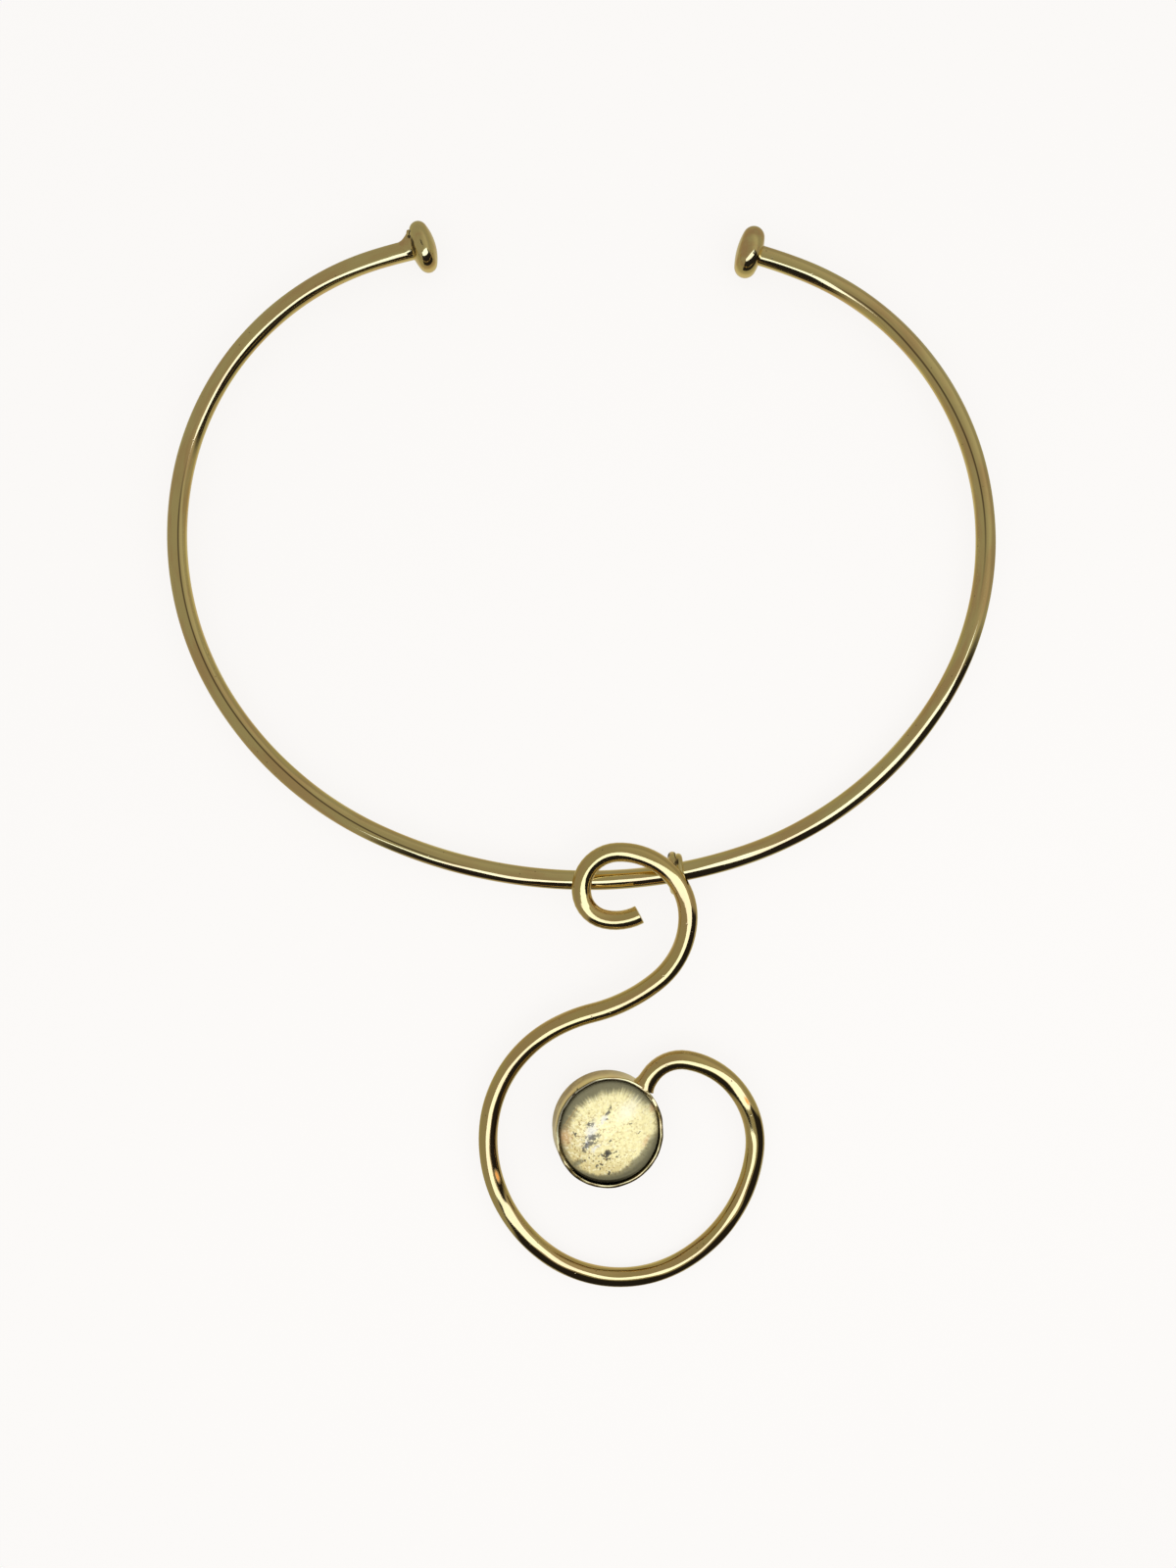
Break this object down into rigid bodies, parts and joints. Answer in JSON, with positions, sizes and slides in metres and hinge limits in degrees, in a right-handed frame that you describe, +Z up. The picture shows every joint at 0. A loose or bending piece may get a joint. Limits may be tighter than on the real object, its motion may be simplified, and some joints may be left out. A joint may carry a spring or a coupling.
{
  "type": "collar choker with a swirl pendant",
  "caption": "Open collar choker of stiff round wire with a button on each end, and a swirl wire pendant that ends in a bezel cup with a domed stone.",
  "frame": {"origin": "under the middle of the whole piece, on the surface that it lies on", "axes": "+X to the right across the neck, +Y from the pendant up to the open ends, +Z up from the surface"},
  "size_m": [0.1352, 0.1744, 0.0089],
  "materials": {
    "brass": "polished by hand, lightly tarnished",
    "stone": "clear domed stone with a gold ground under it"
  },
  "bodies": {
    "neck_ring": {"neck_ring": "brass"},
    "pendant": {"swirl_pendant": "brass", "stone": "stone"}
  },
  "joints": [
    {"name": "pendant_swing", "type": "hinge", "parent": "neck_ring", "child": "pendant", "pos_m": [0.01476, -0.0189, 0.00355], "axis": [-0.9975, -0.0711, 0], "continuous": true}
  ]
}
